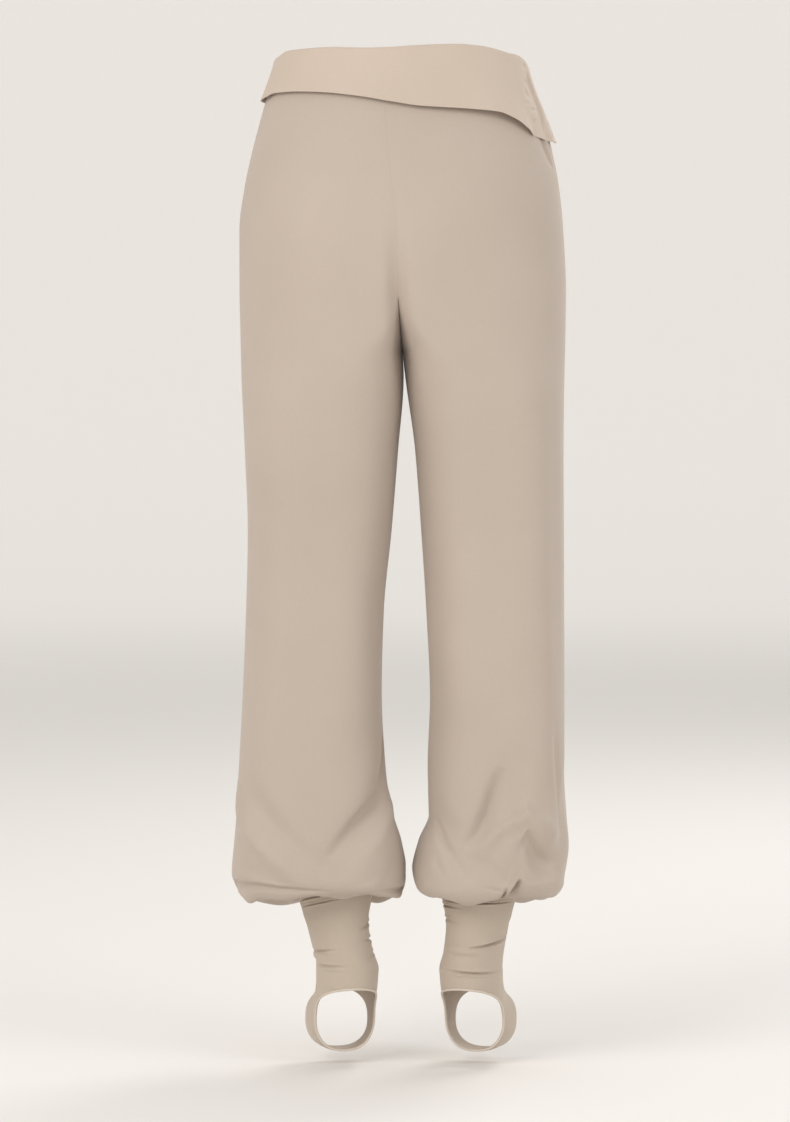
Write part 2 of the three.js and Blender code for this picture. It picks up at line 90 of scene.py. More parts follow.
# Cuffs, by ring number: the join with the leg, and the heel opening with its half spread in degrees
JOIN_RING = 1
JOIN_GAP = 1.1
JOIN_INSET = 0.25  # degrees left open at each seam
CUFF_RADIUS = 40
HEEL_FROM, HEEL_TO = 7, 10.6
HEEL_MIDDLE, HEEL_HALF = (HEEL_FROM + HEEL_TO) / 2, (HEEL_TO - HEEL_FROM) / 2
HEEL_SPREAD = 82
HEEL_ROUND = 2
SLOPE_SPAN = 60  # degrees over which a wrinkle's slope is given
CUFF_WIDTH, RING_HEIGHT = 240, 18  # on its chart
RIM = 1.15  # radius of the rolled edges


def table(names, rows):
    return [dict(zip(names.split(), row)) for row in rows]


# Sections by depth below the waist: medial line, edges of each leg, depth behind and before, squareness
SECTIONS = table("down mid outLeft inLeft outRight inRight back front square", [
    (-14, 17, 127, 0, -124, 0, 85, 90, 2.1),
    (0, 17, 130, 0, -127, 0, 87, 91, 2.1),
    (28, 17.5, 138, 0, -135, 0, 92, 94, 2.1),
    (60, 17, 147, 0, -146.5, 0, 99, 97, 2.15),
    (94, 15, 156, 0, -156.5, 0, 107, 100, 2.2),
    (136, 10, 165, 0, -164.5, 0, 115, 103, 2.25),
    (177, 6, 170, 0, -168.5, 0, 118, 104, 2.3),
    (240, 4.5, 170, 4.5, -171.5, 4.5, 115, 102, 2.35),
    (290, 1, 169, 1, -171, 1, 108, 99, 2.35),
    (330, -2.4, 168, -1.8, -170, -3.4, 102, 97, 2.35),
    (407, -4, 164.5, 4, -169, -15.5, 97, 94, 2.3),
    (491, -4, 161.5, 10.8, -169.5, -23.2, 92, 91, 2.3),
    (576, -4, 163.5, 19, -170, -29, 89, 89, 2.3),
    (660, -4, 167, 21.3, -170.5, -32.3, 87, 88, 2.3),
    (744, -4, 171.5, 17, -170.5, -28.5, 88, 89, 2.3),
    (790, -4, 174, 9.5, -173, -28.5, 91, 92, 2.25),
    (820, -4, 176.5, 0.3, -175, -17, 93, 94, 2.25),
    (850, -4, 179, -4.5, -170.5, -10.5, 93, 95, 2.2),
    (885, -4, 174.5, -4, -166.5, -11, 90, 94, 2.2),
])

# The waist fold and the free edge of the flap, by angle from the wearer's left side round the back
WAIST = table("angle fold edge lift", [
    (0, -1, -43, 2.5), (14, 2.5, -41, 2.5), (24, 6.5, -37.5, 2.5), (38, 7.5, -37, 2.5),
    (56, 8.3, -38.5, 2.5), (78, 7, -43.5, 2.5), (92, 7.7, -48.5, 3), (105, 9.6, -53, 3.5),
    (128, 11.6, -56, 6), (139, 10.4, -58.5, 9), (147, 8.2, -66, 8), (152.5, 6, -74.5, 5),
    (156, 4.6, -80.5, 2.4), (164, 3, -84, 1.4), (172, -2, -86.5, 2.2), (180, -9, -87, 3.6),
])
WAIST_FRONT = table("angle fold edge lift", [
    (180, -9, -87, 3.6), (187, -10, -82.5, 3.4), (200, -11, -74, 4), (214, -12, -66, 5),
    (232, -14, -62, 4), (270, -15, -56, 3), (310, -11, -48, 2.5), (345, -5, -44, 2.5),
    (360, -1, -43, 2.5),
])

# The hem's lowest line by angle round a leg: 0 outside, 90 behind, 180 inside, 270 in front
HEM = table("angle left right", [
    (0, -870, -875), (25, -864, -872), (45, -863, -869), (60, -864, -866.5), (67, -865, -861),
    (70.5, -865, -857), (74, -865.5, -865), (76.5, -865.8, -869.5), (78.5, -866, -867),
    (81, -866.3, -871), (90, -867, -872.5), (105, -868, -874), (140, -868, -869),
    (180, -874, -862), (215, -888, -868), (270, -893, -890),
    (320, -888, -886), (360, -870, -875),
])

# Sags of the turned-under cloth below the hem's edge: place round the leg, half spread in degrees, middle
# and half reach along the turn, and how far down
SAGS = table("leg angle spread at reach drop", [
    ("left", 20, 30, 0.36, 0.17, 13),
    ("left", 34, 9, 0.34, 0.15, 6),
    ("left", 62, 24, 0.4, 0.16, 7),
    ("left", 158, 22, 0.34, 0.16, 9),
    ("right", 36, 20, 0.36, 0.16, 4),
    ("right", 96, 30, 0.4, 0.17, 3),
    ("right", 160, 20, 0.36, 0.16, 5),
    ("left", 250, 30, 0.4, 0.17, 6),
    ("left", 310, 24, 0.36, 0.16, 7),
    ("right", 240, 26, 0.38, 0.16, 7),
    ("right", 300, 30, 0.4, 0.17, 5),
])

# Broad folds of the panels, as in the solids: three points of each curve by share across the panel and row,
# then half width and depth, below zero for a ridge
FOLDS = table("panel u0 d0 u1 d1 u2 d2 half depth", [
    ("left_back", 0.93, 720, 0.7, 788, 0.57, 840, 15, 5.5),
    ("left_back", 0.93, 775, 0.82, 812, 0.68, 848, 17, -3),
    ("left_back", 0.13, 765, 0.25, 800, 0.43, 842, 17, -2.6),
    ("left_back", 0.22, 300, 0.26, 520, 0.21, 740, 18, 2.4),
    ("left_back", 0.78, 400, 0.8, 560, 0.76, 700, 20, 2),
    ("right_back", 0.78, 778, 0.62, 820, 0.45, 862, 14, 3.4),
    ("right_back", 0.4, 700, 0.44, 780, 0.55, 826, 17, 4.6),
    ("right_back", 0.53, 838, 0.4, 786, 0.18, 800, 17, -3.6),
    ("right_back", 0.09, 745, 0.17, 800, 0.29, 834, 17, 4.8),
    ("right_back", 0.34, 862, 0.2, 866, 0.1, 838, 16, -3.2),
    ("right_back", 0.24, 300, 0.26, 500, 0.2, 720, 18, 2.8),
    ("left_front", 0.1, 740, 0.3, 800, 0.5, 852, 16, 4.2),
    ("left_front", 0.86, 745, 0.72, 800, 0.6, 856, 17, 4.4),
    ("left_front", 0.2, 800, 0.38, 840, 0.44, 868, 17, -3),
    ("left_front", 0.3, 300, 0.28, 520, 0.32, 720, 20, 2.6),
    ("right_front", 0.12, 750, 0.28, 806, 0.46, 850, 16, 4.4),
    ("right_front", 0.88, 735, 0.74, 796, 0.62, 850, 17, 4),
    ("right_front", 0.55, 800, 0.42, 836, 0.3, 866, 17, -3),
    ("right_front", 0.3, 310, 0.27, 520, 0.31, 730, 20, 2.4),
])

# Fine creases, added to the broad folds. Rows past 850 lie on the turned-under hem.
CREASES = table("panel u0 d0 u1 d1 u2 d2 half depth", [
    ("left_back", 0.98, 704, 0.92, 742, 0.8, 768, 6.5, 5.6),
    ("left_back", 0.85, 762, 0.68, 776, 0.53, 830, 6.5, 8.4),
    ("left_back", 0.95, 772, 0.76, 790, 0.61, 842, 9, -4.6),
    ("left_back", 0.9, 778, 0.87, 800, 0.86, 824, 5, 2),
    ("left_back", 0.81, 812, 0.77, 840, 0.73, 872, 11, 2.2),
    ("left_back", 0.1, 760, 0.28, 816, 0.44, 850, 9, -5),
    ("left_back", 0.2, 740, 0.35, 796, 0.5, 836, 11, 4.8),
    ("left_back", 0.2, 838, 0.3, 850, 0.42, 858, 7, 1.6),
    ("left_back", 0.62, 858, 0.68, 846, 0.74, 840, 6, 1),
    ("left_back", -0.1, 868, 0.2, 866, 0.52, 872, 4.5, 5),
    ("left_back", 0.72, 876, 0.84, 866, 1.1, 870, 4.5, 4.5),
    ("right_back", 0.88, 320, 0.9, 560, 0.88, 820, 18, -4.5),
    ("right_back", 0.81, 788, 0.7, 806, 0.58, 842, 4.2, 3.8),
    ("right_back", 0.73, 822, 0.7, 832, 0.67, 842, 4, 1.6),
    ("right_back", 0.48, 730, 0.53, 780, 0.62, 814, 8.5, 9.5),
    ("right_back", 0.57, 824, 0.48, 762, 0.28, 802, 10, -7),
    ("right_back", 0.41, 802, 0.34, 838, 0.22, 836, 10, 11),
    ("right_back", 0.25, 690, 0.19, 760, 0.2, 806, 7, 4),
    ("right_back", 0.14, 700, 0.1, 770, 0.13, 830, 9, -1.8),
    ("right_back", 0.4, 862, 0.46, 842, 0.53, 822, 4, 1.4),
    ("right_back", 0.38, 862, 0.33, 848, 0.26, 842, 4, 0.9),
    ("right_back", 0.39, 866, 0.4, 852, 0.41, 842, 3.4, 0.8),
    ("right_back", 0.44, 866, 0.48, 856, 0.53, 850, 3.4, 1.2),
    ("left_front", 0.12, 720, 0.32, 786, 0.5, 838, 8, 5.2),
    ("left_front", 0.88, 730, 0.7, 790, 0.6, 846, 8, 5.4),
    ("left_front", 0.22, 812, 0.36, 838, 0.46, 860, 6, 1.8),
    ("left_front", 0.7, 836, 0.64, 850, 0.6, 866, 6, 1.6),
    ("right_front", 0.14, 730, 0.3, 796, 0.46, 846, 8, 5.6),
    ("right_front", 0.9, 722, 0.72, 786, 0.62, 840, 8, 5),
    ("right_front", 0.52, 806, 0.42, 838, 0.32, 862, 6, 1.8),
    ("right_front", 0.74, 830, 0.68, 848, 0.64, 866, 6, 1.6),
])

# The soft hollow along the centre-back seam, by row: depth on each side of the seam
SEAT_HOLLOW = table("row depth", [
    (130, 0), (180, 2.4), (215, 6.4), (250, 12), (294, 13.5), (318, 7), (345, 0),
])
SEAT_HOLLOW_HALF = 9  # half its width

# Valley of the ruched side seam, down the flap: angle round the trunk and depth, by height
VALLEY = table("height angle depth", [
    (-96, 165.2, 4.6), (-75, 167, 4.6), (-58, 170.4, 4.6), (-43, 171, 4.4), (-26, 170.6, 4), (-12, 170.2, 0),
])
# Its end, on the leg panel below the flap
VALLEY_END = table("row u depth", [(70, 0.15, 3.2), (91, 0.152, 3.2), (104, 0.135, 2.6), (116, 0.126, 0)])
VALLEY_NEAR, VALLEY_FAR = 13, 1.6  # half widths towards the back and towards the side seam
TRUNK_DEGREE = 2.3  # cloth for each degree there
FLUSH = 0.25  # how far the flap's edge stands off where it is sewn down
FLUSH_FROM, FLUSH_TO = (154, 159), (168.6, 172)  # angles where that starts and ends
FLUSH_FALL, RUCHING_FALL = 0.62, 0.1  # shares of the way down the flap where it and the ruching set in

# Puckers of the ruched side: angle, height, half width, half height and depth
PUCKERS = table("angle height wide tall depth", [
    (168.2, -8, 5, 3.4, 2), (165.2, -25, 4, 2.2, 2.6), (163, -38, 5, 4.4, 2.6), (163, -54, 7, 1.4, 2.2),
    (161, -67, 6, 2.8, 1.8), (168, -48, 3.6, 2.6, 1.8), (167, -63, 3.6, 2.8, 1.8), (159.5, -48, 6, 1.6, 0.9),
    (174.5, -36, 4, 2.6, 1.6), (175, -52, 4, 2.8, 1.8), (174, -68, 4, 2.4, 1.8), (175, -80, 4, 2.6, 1.6),
])

# Notches where the hem is tacked up to the cuff: place round the leg, half spread in degrees, depth
NOTCHES = table("leg angle spread depth", [("right", 70.5, 2.2, 4.6), ("right", 78.5, 1.6, 3.6)])

# Rings of a cuff down the calf, round the heel and along the instep
RINGS = table("heelAt heelUp frontAt frontUp wide square lean", [
    (-47.5, 184, 41.5, 184, 39, 2.1, 1.02),
    (-47.5, 174, 41.5, 174, 39, 2.1, 1),
    (-46, 163, 40, 163, 37, 2.1, 0.98),
    (-44, 150, 39, 150, 34, 2.1, 0.93),
    (-41, 132, 38, 132, 31.5, 2.1, 0.7),
    (-39, 111, 39, 112, 31, 2.1, 0.36),
    (-37, 91, 42, 95, 32.5, 2.1, 0),
    (-36, 75, 46, 84, 32, 2.1, 0),
    (-28, 52, 50, 79, 31.5, 2.1, 0),
    (-13, 27, 53, 74.5, 32, 2.2, 0),
    (6, 8, 55.5, 71, 33.5, 2.3, 0),
    (23, 1, 57.5, 68, 34, 2.4, 0),
    (39, 0, 59, 66, 34.5, 2.4, 0),
    (54, 0, 61, 64, 34.5, 2.4, 0),
])

# Pressed wrinkles across the cuffs: ring, middle and half spread in degrees from the heel, slope in rings,
# half width in rings, and depth, below zero for a ridge
WRINKLES = table("cuff ring at spread slope half depth", [
    ("left", 1.3, 58, 62, 0.96, 0.12, 2.4),
    ("left", 1.78, 48, 60, 0.85, 0.11, 1.8),
    ("left", 4.88, 66, 50, 0.2, 0.1, 3.2),
    ("left", 5.66, 56, 52, 0.08, 0.12, 2.4),
    ("left", 5.28, 90, 38, 0, 0.24, -1.6),
    ("left", 3.5, -66, 50, 0.25, 0.14, 2.4),
    ("left", 4.35, -70, 46, -0.1, 0.12, 2.6),
    ("left", 5.1, -66, 44, 0.2, 0.13, 2),
    ("left", 6, 180, 80, 0.1, 0.3, 2.4),
    ("left", 3.4, 175, 85, -0.1, 0.3, 2),
    ("right", 1.62, 14, 90, 0.08, 0.12, 2.8),
    ("right", 4.45, 56, 66, -0.26, 0.1, 3.8),
    ("right", 4.8, -10, 60, 0.1, 0.2, -1.5),
    ("right", 5.95, 22, 76, 0.14, 0.12, 2.8),
    ("right", 2.1, -46, 40, 0, 0.14, 2.2),
    ("right", 3.2, -48, 42, 0.1, 0.15, 2.2),
    ("right", 6.1, 180, 80, 0.1, 0.3, 2.4),
    ("right", 3.6, 170, 85, 0.1, 0.3, 2),
])

# Where each foot stands: its place, its turn outwards in degrees, and how far the calf leans out
FEET = {
    "left": dict(sign=1, x=57, y=4, turn=12, lean=14),
    "right": dict(sign=-1, x=-72, y=6, turn=17, lean=10),
}


# Curves
def column(rows, key, name, at):
    """A table's column at any keys, on a smooth curve through its rows that never overshoots them."""
    keys = np.array([row[key] for row in rows], float)
    values = np.array([row[name] for row in rows], float)
    at = np.clip(np.asarray(at, float), keys[0], keys[-1])
    slope = np.diff(values) / np.diff(keys)
    before, after = slope[:-1], slope[1:]
    same = before * after > 0
    inner = np.where(same, 2 * before * after / np.where(same, before + after, 1), 0)
    tangent = np.concatenate([[slope[0]], inner, [slope[-1]]])
    i = np.clip(np.searchsorted(keys, at, side="right") - 1, 0, len(keys) - 2)
    step = keys[i + 1] - keys[i]
    s = (at - keys[i]) / step
    return (values[i] * (1 + 2 * s) * (1 - s) ** 2 + values[i + 1] * s * s * (3 - 2 * s)
            + step * s * (1 - s) * (tangent[i] * (1 - s) - tangent[i + 1] * s))


def smooth(low, high, x):
    s = np.clip((x - low) / (high - low), 0, 1)
    return s * s * (3 - 2 * s)


def mix(a, b, s):
    return a + (b - a) * s


def bell(x, half):
    """One in the middle, dying out softly past its half width."""
    return np.exp(-((x / half) ** 2))


def valley(off):
    """The side valley's profile across the cloth, where off is above zero towards the back."""
    return bell(off, np.where(off > 0, VALLEY_NEAR, VALLEY_FAR))


def resting(share, reach):
    """One over a panel, dropping to nought at its two seams."""
    return smooth(0, reach, share) * smooth(0, reach, 1 - share)


def turned(angle, middle):
    """Degrees from a middle to an angle, the short way round."""
    return (angle - middle + 540) % 360 - 180


def unit(vectors):
    return vectors / np.maximum(np.linalg.norm(vectors, axis=-1, keepdims=True), 1e-12)


def quarter(x, wide, deep, square, share):
    """One quarter of a superellipse, from its side at share 0 to its back at share 1."""
    angle = share * math.pi / 2
    cos = np.clip(np.cos(angle), 0, 1)
    return x + wide * cos ** (2 / square), deep * np.sin(angle) ** (2 / square)


def on_section(side, face, share, down):
    """Points at a share of the cloth from the outseam, at a depth below the waist (arrays of one shape)."""
    share, down = np.broadcast_arrays(np.asarray(share, float), np.asarray(down, float))
    shape = share.shape
    share, down = share.ravel(), down.ravel()
    sign = 1 if side == "left" else -1
    read = lambda name: column(SECTIONS, "down", name, down)
    mid = read("mid") + sign * SEAM / 2
    out = read("out" + side.title())
    deep = read(face)
    square = read("square")
    if face == "back":
        square = square + FLAT_BACK * smooth(*FLAT_BACK_ROWS, down)
    legness = smooth(CROTCH_TOP, CROTCH + CREASE_REACH, down)
    low_inner = sign * np.maximum(sign * read("in" + side.title()), sign * mid)
    inner = np.where(down < CROTCH, mid, low_inner)
    crest = mix(mid, (out + inner) / 2, legness)
    steps = np.linspace(0, 1, QUARTER_STEPS + 1)[None, :]
    col = lambda a: a[:, None]
    x_out, y_out = quarter(col(crest), col(out - crest), col(deep), col(square), steps)
    fall = np.clip((down - CROTCH_TOP) / (CROTCH - CROTCH_TOP), 0, 1)
    drop = np.minimum(deep * fall ** CROTCH_CURVE, deep - SEAM / 2)
    square_in = mix(CREASE_SQUARE, square, smooth(CROTCH, CROTCH + 2 * CREASE_REACH, down))
    x_in, y_in = quarter(col(crest), col(inner - crest), col(drop), col(square_in), 1 - steps[:, 1:])
    xs = np.concatenate([x_out, x_in], 1)
    ys = np.concatenate([y_out, col(deep - drop) + y_in], 1)
    ys[:, 0] = SEAM / 2
    whole = col(down <= CROTCH_TOP)
    at_crest, past_crest = slice(QUARTER_STEPS, QUARTER_STEPS + 1), slice(QUARTER_STEPS + 1, None)
    for line in (xs, ys):
        line[:, past_crest] = np.where(whole, line[:, at_crest], line[:, past_crest])
    lengths = np.concatenate([np.zeros((len(down), 1)),
                              np.cumsum(np.hypot(np.diff(xs, axis=1), np.diff(ys, axis=1)), 1)], 1)
    wanted = np.clip(share, 0, 1) * lengths[:, -1]
    i = np.clip((lengths < col(wanted)).sum(1) - 1, 0, lengths.shape[1] - 2)
    row = np.arange(len(down))
    s = (wanted - lengths[row, i]) / np.maximum(lengths[row, i + 1] - lengths[row, i], 1e-9)
    x = mix(xs[row, i], xs[row, i + 1], s)
    y = mix(ys[row, i], ys[row, i + 1], s)
    return np.stack([x, y if face == "back" else -y, -down], 1).reshape(shape + (3,))


def trunk_angle(side, face, share):
    """Degrees round the trunk from the wearer's left side, by way of the back."""
    if face == "back":
        return 90 * share if side == "left" else 180 - 90 * share
    return 360 - 90 * share if side == "left" else 180 + 90 * share


def leg_angle(face, share):
    """Degrees round a leg from its outside, by way of the back."""
    return 180 * share if face == "back" else 360 - 180 * share


def waist(name, angle):
    behind, before = (column(rows, "angle", name, angle) for rows in (WAIST, WAIST_FRONT))
    return np.where(angle <= 180, behind, before)


def fold_line(fold, key, s):
    """One coordinate along a fold's curve, from its three points."""
    return fold[key + "0"] * (1 - s) ** 2 + 2 * fold[key + "1"] * s * (1 - s) + fold[key + "2"] * s * s


def fold_lift(folds, panel, share, down, ends):
    """How far a panel's folds lift its cloth at places on its chart: below zero in a trough."""
    x, y = CHART_WIDTH * share, down
    lift = np.zeros_like(x)
    for fold in (fold for fold in folds if fold["panel"] == panel):
        s = np.linspace(0, 1, FOLD_STEPS + 1)
        cx, cy = CHART_WIDTH * fold_line(fold, "u", s), fold_line(fold, "d", s)
        reach = FOLD_REACH * fold["half"]
        near = (x > cx.min() - reach) & (x < cx.max() + reach)
        near &= (y > cy.min() - reach) & (y < cy.max() + reach)
        px, py = x[near], y[near]
        best = np.full(px.shape, np.inf)
        along = np.zeros(px.shape)
        for i in range(FOLD_STEPS):
            dx, dy = cx[i + 1] - cx[i], cy[i + 1] - cy[i]
            t = np.clip(((px - cx[i]) * dx + (py - cy[i]) * dy) / (dx * dx + dy * dy), 0, 1)
            gap = np.hypot(px - cx[i] - t * dx, py - cy[i] - t * dy)
            closer = gap < best
            best = np.where(closer, gap, best)
            along = np.where(closer, (i + t) / FOLD_STEPS, along)
        taper = np.sin(math.pi * np.clip(along, ends, 1 - ends)) ** FOLD_TAPER
        lift[near] -= fold["depth"] * taper * bell(best, fold["half"])
    return lift


# Surfaces, as grids of points
def grid_normals(points, sign):
    """Unit normals of a grid of points, from the slopes along its rows and columns."""
    along = np.gradient(points, axis=1)
    down = np.gradient(points, axis=0)
    return unit(np.cross(along, down)) * sign


def pressed_in(cuff, degrees, ring):
    """How deep a cuff's wrinkles press, each with a soft ridge on both sides."""
    pressed = np.zeros_like(ring)
    for row in (row for row in WRINKLES if row["cuff"] == cuff):
        off = turned(degrees, row["at"])
        near = np.minimum(np.abs(off) / row["spread"], 1)
        across = (ring - row["ring"] - row["slope"] * off / SLOPE_SPAN) / row["half"]
        profile = (1 - 2 * across * across) * np.exp(-across * across)
        pressed = pressed + row["depth"] * (1 - near * near) ** 2 * profile
    return pressed


def cuff_points(cuff, share, ring, opening=True):
    """A cuff's surface: share of the way round from the heel's middle, and ring number."""
    share, ring = np.broadcast_arrays(np.asarray(share, float), np.asarray(ring, float))
    foot = FEET[cuff]
    rings = [dict(row, number=i) for i, row in enumerate(RINGS)]
    read = lambda name: column(rings, "number", name, ring)
    heel = np.minimum(np.abs(ring - HEEL_MIDDLE) / HEEL_HALF, 1)
    spread = HEEL_SPREAD * (1 - heel ** HEEL_ROUND) ** (1 / HEEL_ROUND) if opening else np.zeros_like(ring)
    degrees = spread + share * (360 - 2 * spread)
    angle = np.radians(degrees)
    power = 2 / read("square")
    bend = lambda value: np.sign(value) * np.abs(value) ** power
    shrink = 1 - pressed_in(cuff, degrees, ring) / CUFF_RADIUS
    length = (1 - bend(np.cos(angle)) * shrink) / 2
    wide = bend(np.sin(angle)) * read("wide") * shrink
    forward = mix(read("heelAt"), read("frontAt"), length)
    height = mix(read("heelUp"), read("frontUp"), length)
    lean = foot["sign"] * foot["lean"] * read("lean")
    turn = math.radians(foot["turn"])
    return np.stack([
        foot["x"] + lean + foot["sign"] * (forward * math.sin(turn) + wide * math.cos(turn)),
        foot["y"] - forward * math.cos(turn) + wide * math.sin(turn),
        height - SOLE,
    ], -1)


def turned_under(side, face, share, flat, start, lowest):
    """The cloth under a leg's hem, from the roll at flat 0 in to its join with the cuff at flat 1."""
    degrees = mix(JOIN_INSET, 180 - JOIN_INSET, share)
    around = (90 - (degrees if face == "back" else 360 - degrees) + 720) % 360
    join = cuff_points(side, around / 360, np.full_like(share, JOIN_RING), False)
    heel, shin = (cuff_points(side, place, float(JOIN_RING), False) for place in (0.0, 0.5))
    outward = join - (heel + shin) / 2
    outward[..., 2] = 0
    outward = unit(outward)
    join = join + outward * JOIN_GAP
    first = np.broadcast_to(start, join.shape).copy()
    first[..., 2] -= ROLL * ROLL_HANDLE
    second = mix(start, join, 0.5)
    second[..., 2] = lowest - UNDER_DIP * (join[..., 2] - lowest)
    s = flat[..., None]
    under = start * (1 - s) ** 3 + first * 3 * s * (1 - s) ** 2 + second * 3 * s * s * (1 - s) + join * s ** 3
    round_leg = leg_angle(face, share)
    wave = np.cos(np.radians(GATHERS * round_leg))
    under[..., 2] += GATHER_DEPTH * wave * smooth(*GATHER_START, flat) * (1 - smooth(*GATHER_END, flat))
    for sag in (sag for sag in SAGS if sag["leg"] == side):
        along = bell(flat - sag["at"], sag["reach"]) * smooth(*SAG_START, flat)
        drop = sag["drop"] * bell(turned(round_leg, sag["angle"]), sag["spread"]) * along
        under[..., 2] -= drop * (1 - smooth(*UNDER_END, flat))
    for notch in (notch for notch in NOTCHES if notch["leg"] == side):
        along = smooth(*NOTCH_START, flat) * (1 - smooth(*NOTCH_END, flat))
        pull = notch["depth"] * bell(turned(round_leg, notch["angle"]), notch["spread"]) * along
        under = under - outward * pull[..., None]
    return under


def panel_points(side, face, shares, rows):
    """A leg panel's outer face on a grid. Rows are depths down to the hem's roll, then run to the join."""
    sign = -1 if (side == "left") == (face == "back") else 1
    name = f"{side}_{face}"
    share, row = np.meshgrid(shares, rows)
    lowest = column(HEM, "angle", side, leg_angle(face, share))
    seam = BAND_RISE - waist("fold", trunk_angle(side, face, share))
    roll = -lowest - ROLL
    top = row + (seam - TOP_ROW) * (TOP_FADE - row) / (TOP_FADE - TOP_ROW)
    low = LOW_FADE + (row - LOW_FADE) * (roll - LOW_FADE) / (ROLL_ROW - LOW_FADE)
    down = np.where(row < TOP_FADE, top, np.where(row <= LOW_FADE, row, low))
    above = row <= ROLL_ROW
    skin = on_section(side, face, share, np.where(above, down, roll))
    normals = grid_normals(on_section(side, face, share, np.where(above, down, roll + row - ROLL_ROW)), sign)
    broad = fold_lift(FOLDS, name, share, np.minimum(row, ROLL_ROW), BROAD_ENDS) * resting(share, SEAM_REST)
    skin = skin + normals * broad[..., None]
    start = int(np.argmin(np.abs(rows - ROLL_ROW)))
    flat = np.clip((row - ROLL_ROW) / UNDER_ROWS, 0, 1)
    under = turned_under(side, face, share, flat, skin[start:start + 1], lowest)
    points = np.where(above[..., None], skin, under)
    fine = fold_lift(CREASES, name, share, row, FINE_ENDS) * resting(share, FINE_REST)
    fine = fine * (1 - smooth(*UNDER_END, flat))
    if face == "back":
        aside = points[..., 0] - column(SECTIONS, "down", "mid", row)
        hollow = column(SEAT_HOLLOW, "row", "depth", row) * bell(aside, SEAT_HOLLOW_HALF)
        points[..., 1] -= np.minimum(hollow, np.maximum(points[..., 1] - SEAM, 0))
    if name == "right_back":
        off = (share - column(VALLEY_END, "row", "u", row)) * CHART_WIDTH
        fine = fine - column(VALLEY_END, "row", "depth", row) * valley(off)
    return points + grid_normals(points, sign) * fine[..., None], sign


def trunk_point(angle, height, shift=0.0):
    """The trunk's section at angles and heights, moved along it by a small share."""
    quarter_of = np.clip((angle // 90).astype(int), 0, 3)
    out = np.zeros(angle.shape + (3,))
    places = [("left", "back", angle / 90, 1), ("right", "back", (180 - angle) / 90, -1),
              ("right", "front", (angle - 180) / 90, 1), ("left", "front", (360 - angle) / 90, -1)]
    for index, (side, face, share, turn) in enumerate(places):
        here = quarter_of == index
        if here.any():
            moved = np.clip(share[here] + turn * shift, 0, 1)
            out[here] = on_section(side, face, moved, -height[here])
    return out


def ruching(angle, height):
    """How deep the flap is drawn in at the wearer's right: its valley and its puckers."""
    off = (column(VALLEY, "height", "angle", height) - angle) * TRUNK_DEGREE
    dent = column(VALLEY, "height", "depth", height) * valley(off)
    for pucker in PUCKERS:
        across = (angle - pucker["angle"]) * TRUNK_DEGREE / pucker["wide"]
        along = (height - pucker["height"]) / pucker["tall"]
        dent = dent + pucker["depth"] * np.exp(-(across ** 2) - along ** 2)
    return dent


def band_points(start, end, shares, rows, outer):
    """A waistband's face or underside: up inside, over the fold and down outside to the flap's free edge."""
    share, row = np.meshgrid(shares, rows)
    angle = mix(start + BAND_INSET, end - BAND_INSET, share)
    source = WAIST if start < 180 else WAIST_FRONT
    read = lambda name: column(source, "angle", name, angle)
    radius = FOLD_TURN + (CLOTH / 2 if outer else -CLOTH / 2)
    centre = FOLD_TURN - CLOTH / 2
    fold = read("fold") - FOLD_TURN - CLOTH / 2
    base = read("fold") - BAND_RISE + SEAM
    turn = np.clip(row - 1, 0, 1)
    fall = np.clip(row - 2, 0, 1)
    height = mix(base, fold, np.minimum(row, 1)) + radius * np.sin(math.pi * turn)
    height = np.where(row >= 2, mix(fold, read("edge"), fall), height)
    face = centre + FOLD_TURN + CLOTH / 2 + read("lift") * fall * fall
    if start < 180:
        flush = smooth(*FLUSH_FROM, angle) * (1 - smooth(*FLUSH_TO, angle))
        face = mix(face, FLUSH, flush * smooth(FLUSH_FALL, 1, fall))
        face = np.maximum(face - ruching(angle, height) * smooth(0, RUCHING_FALL, fall), FLUSH)
    down = face if outer else np.maximum(face - CLOTH, UNDERSIDE)
    offset = np.where(row >= 2, down, centre - radius * np.cos(math.pi * turn))
    along = trunk_point(angle, height, SIDESTEP) - trunk_point(angle, height, -SIDESTEP)
    outward = unit(np.stack([along[..., 1], -along[..., 0], np.zeros_like(share)], -1))
    return trunk_point(angle, height) + outward * offset[..., None]


